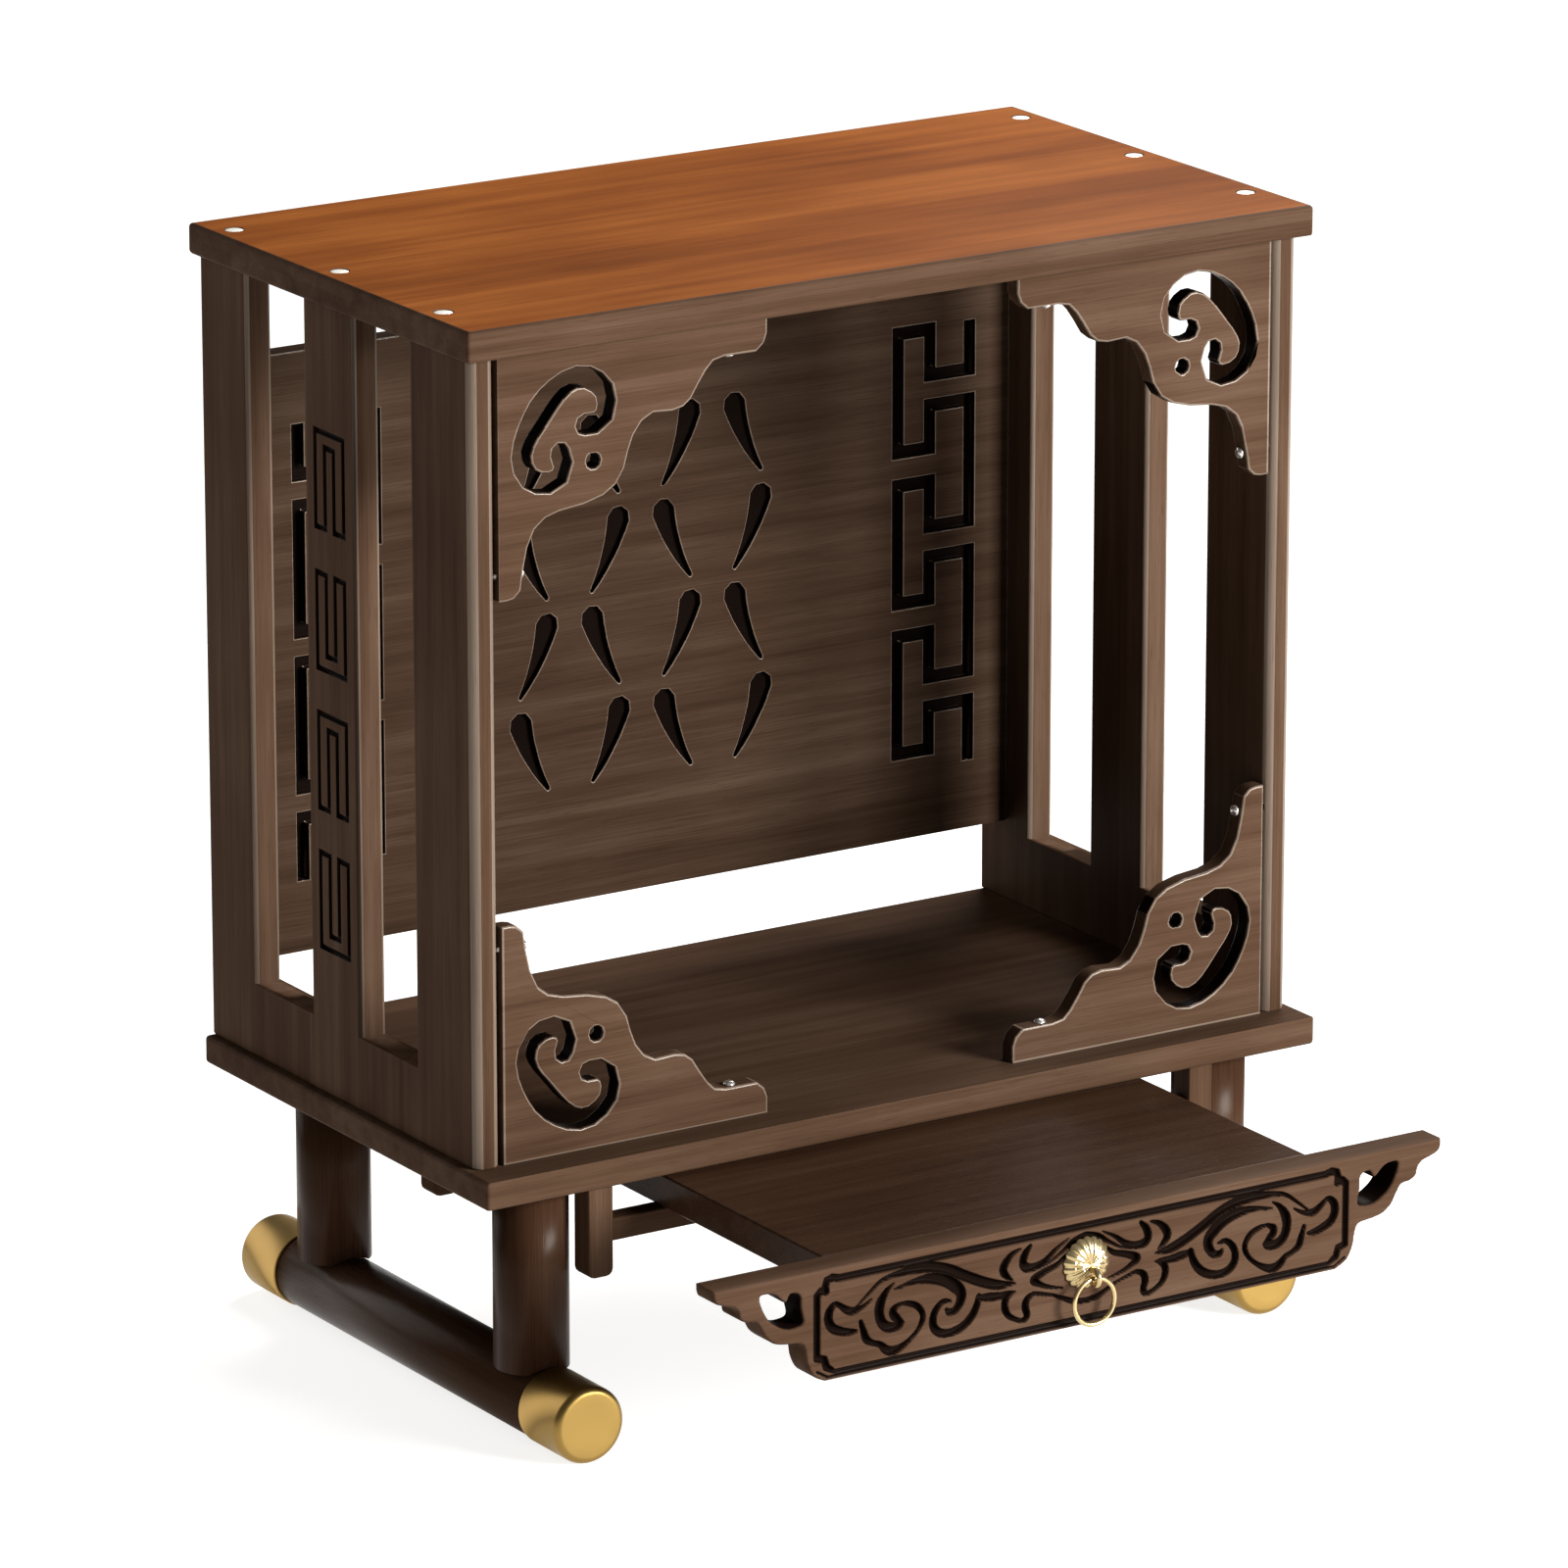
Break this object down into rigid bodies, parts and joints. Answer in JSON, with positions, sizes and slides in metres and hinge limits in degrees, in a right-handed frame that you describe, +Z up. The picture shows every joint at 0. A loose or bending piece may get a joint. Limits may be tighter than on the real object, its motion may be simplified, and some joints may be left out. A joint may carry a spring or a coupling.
{
  "type": "table-top altar cabinet with a pull-out offering tray",
  "caption": "Open-front wooden altar cabinet with slotted sides, pierced corner brackets, a carved back, round runners and an offering tray that slides out below.",
  "frame": {"origin": "centre of the footprint at ground level, with the tray pulled out", "axes": "+Z up, +Y towards the back, +X to the right as seen from the front"},
  "size_m": [0.4, 0.3714, 0.4619],
  "materials": {
    "dark_wood": "dark walnut stain under satin lacquer, fine straight grain",
    "top_wood": "reddish-brown stain under satin lacquer, fine straight grain along the board",
    "brass": "satin brass, gold coloured",
    "steel_screws": "plain bright steel"
  },
  "bodies": {
    "cabinet": {"top_board": "top_wood", "top_screw_1": "steel_screws", "top_screw_2": "steel_screws", "top_screw_3": "steel_screws", "top_screw_4": "steel_screws", "top_screw_5": "steel_screws", "top_screw_6": "steel_screws", "base_board": "dark_wood", "back_panel": "dark_wood", "side_panel_left": "dark_wood", "bracket_lower_left": "dark_wood", "bracket_screw_leg_lower_left": "steel_screws", "bracket_screw_arm_lower_left": "steel_screws", "bracket_upper_left": "dark_wood", "bracket_screw_leg_upper_left": "steel_screws", "bracket_screw_arm_upper_left": "steel_screws", "runner_left": "dark_wood", "cap_front_left": "brass", "cap_rear_left": "brass", "post_front_left": "dark_wood", "post_rear_left": "dark_wood", "hanger_front_left": "dark_wood", "hanger_rear_left": "dark_wood", "side_panel_right": "dark_wood", "bracket_lower_right": "dark_wood", "bracket_screw_leg_lower_right": "steel_screws", "bracket_screw_arm_lower_right": "steel_screws", "bracket_upper_right": "dark_wood", "bracket_screw_leg_upper_right": "steel_screws", "bracket_screw_arm_upper_right": "steel_screws", "runner_right": "dark_wood", "cap_front_right": "brass", "cap_rear_right": "brass", "post_front_right": "dark_wood", "post_rear_right": "dark_wood", "hanger_front_right": "dark_wood", "hanger_rear_right": "dark_wood", "crossbar_front": "dark_wood", "crossbar_rear": "dark_wood"},
    "tray": {"tray_board": "dark_wood", "tray_front": "dark_wood", "pull_boss": "brass"},
    "ring": {"pull_ring": "brass"}
  },
  "joints": [
    {"name": "tray_slide", "type": "slide", "parent": "cabinet", "child": "tray", "axis": [0, 1, 0], "range_m": [0, 0.111]},
    {"name": "ring_swing", "type": "hinge", "parent": "tray", "child": "ring", "pos_m": [0, -0.18135, 0.0806], "axis": [-1, 0, 0], "range_deg": [0, 95]}
  ]
}
